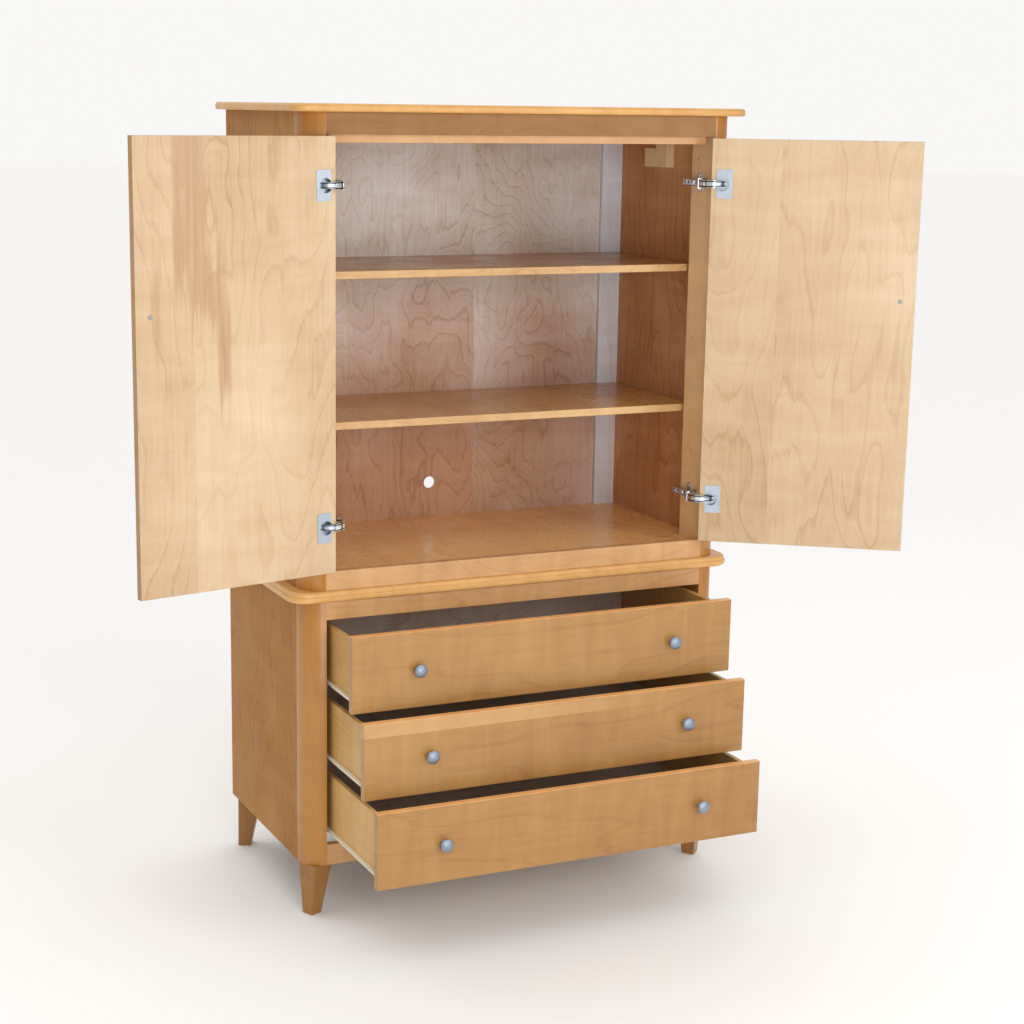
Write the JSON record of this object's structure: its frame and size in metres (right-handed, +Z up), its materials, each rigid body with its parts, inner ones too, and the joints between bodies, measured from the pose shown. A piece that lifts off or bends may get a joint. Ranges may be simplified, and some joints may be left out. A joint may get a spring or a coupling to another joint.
{
  "type": "armoire",
  "caption": "Two-section bedroom armoire: a chest of drawers on tapered legs under a two-door cabinet with shelves, rounded front corner posts and overhanging tops.",
  "frame": {"origin": "on the floor, at the centre of the chest's footprint (1092 mm wide, 560 mm deep)", "axes": "+X to the right seen from the front, +Y from the front to the back, +Z up"},
  "size_m": [1.8433, 0.899, 1.88],
  "materials": {
    "maple": "satin lacquered maple veneer",
    "side_maple": "satin lacquered maple veneer, aged darker",
    "birch": "clear-sealed birch",
    "back_veneer": "stained veneer on hardboard",
    "pale_strip": "painted strip",
    "nickel": "satin nickel",
    "hinge_steel": "nickel-plated pressed steel",
    "white_slides": "creamy white epoxy",
    "zinc": "bright zinc plate"
  },
  "bodies": {
    "carcass": {"cabinet_back_panel": "back_veneer", "cabinet_bottom_rail": "maple", "cabinet_floor": "maple", "cabinet_front_post_left": "maple", "cabinet_front_post_right": "maple", "cabinet_header": "maple", "cabinet_rear_strips": "pale_strip", "cabinet_side_left": "side_maple", "cabinet_side_right": "side_maple", "cabinet_slides": "white_slides", "cabinet_top": "maple", "chest_back_panel": "back_veneer", "chest_bottom_rail": "maple", "chest_front_post_left": "maple", "chest_front_post_right": "maple", "chest_rear_posts": "birch", "chest_side_left": "side_maple", "chest_side_right": "side_maple", "chest_top": "maple", "chest_top_rail": "maple", "door_stop_strip": "maple", "glue_blocks": "birch", "hinge_arms": "hinge_steel", "leg_back_left": "maple", "leg_back_right": "maple", "leg_bolts": "zinc", "leg_front_left": "maple", "leg_front_right": "maple", "shelf_lower": "maple", "shelf_pins": "zinc", "shelf_upper": "maple", "slide_cleats": "birch"},
    "bottom_drawer": {"bottom_drawer_back": "birch", "bottom_drawer_bottom": "birch", "bottom_drawer_front": "maple", "bottom_drawer_knobs": "nickel", "bottom_drawer_sides": "birch", "bottom_drawer_slides": "white_slides"},
    "middle_drawer": {"middle_drawer_back": "birch", "middle_drawer_bottom": "birch", "middle_drawer_front": "maple", "middle_drawer_knobs": "nickel", "middle_drawer_sides": "birch", "middle_drawer_slides": "white_slides"},
    "top_drawer": {"top_drawer_back": "birch", "top_drawer_bottom": "birch", "top_drawer_front": "maple", "top_drawer_knobs": "nickel", "top_drawer_sides": "birch", "top_drawer_slides": "white_slides"},
    "left_door": {"left_door_knob": "nickel", "left_door_panel": "maple", "left_hinge_cups": "hinge_steel"},
    "left_hinge_inner_link": {"left_hinge_inner_links": "hinge_steel"},
    "left_hinge_outer_link": {"left_hinge_outer_links": "hinge_steel"},
    "right_door": {"right_door_knob": "nickel", "right_door_panel": "maple", "right_hinge_cups": "hinge_steel"},
    "right_hinge_inner_link": {"right_hinge_inner_links": "hinge_steel"},
    "right_hinge_outer_link": {"right_hinge_outer_links": "hinge_steel"}
  },
  "joints": [
    {"name": "bottom_drawer_slide", "type": "slide", "parent": "carcass", "child": "bottom_drawer", "axis": [0, -1, 0], "range_m": [-0.315, 0.065]},
    {"name": "middle_drawer_slide", "type": "slide", "parent": "carcass", "child": "middle_drawer", "axis": [0, -1, 0], "range_m": [-0.233, 0.147]},
    {"name": "top_drawer_slide", "type": "slide", "parent": "carcass", "child": "top_drawer", "axis": [0, -1, 0], "range_m": [-0.158, 0.222]},
    {"name": "left_door_swing", "type": "hinge", "parent": "carcass", "child": "left_door", "pos_m": [-0.487, -0.2845, 1.325], "axis": [0, 0, -1], "range_deg": [-168, 2]},
    {"name": "left_inner_link_swing", "type": "hinge", "parent": "carcass", "child": "left_hinge_inner_link", "pos_m": [-0.487, -0.2845, 1.325], "axis": [0, 0, -1], "range_deg": [-56.5, 1.17]},
    {"name": "left_outer_link_swing", "type": "hinge", "parent": "carcass", "child": "left_hinge_outer_link", "pos_m": [-0.487, -0.2845, 1.325], "axis": [0, 0, -1], "range_deg": [-112.5, 1.83]},
    {"name": "right_door_swing", "type": "hinge", "parent": "carcass", "child": "right_door", "pos_m": [0.487, -0.2845, 1.325], "axis": [0, 0, 1], "range_deg": [-145, 25]},
    {"name": "right_inner_link_swing", "type": "hinge", "parent": "carcass", "child": "right_hinge_inner_link", "pos_m": [0.487, -0.2845, 1.325], "axis": [0, 0, 1], "range_deg": [-48.83, 8.83]},
    {"name": "right_outer_link_swing", "type": "hinge", "parent": "carcass", "child": "right_hinge_outer_link", "pos_m": [0.487, -0.2845, 1.325], "axis": [0, 0, 1], "range_deg": [-97.17, 17.17]}
  ],
  "couplings": [
    {"joint": "left_inner_link_swing", "follows": "left_door_swing", "ratio": 0.33333},
    {"joint": "left_outer_link_swing", "follows": "left_door_swing", "ratio": 0.66667},
    {"joint": "right_inner_link_swing", "follows": "right_door_swing", "ratio": 0.33333},
    {"joint": "right_outer_link_swing", "follows": "right_door_swing", "ratio": 0.66667}
  ]
}
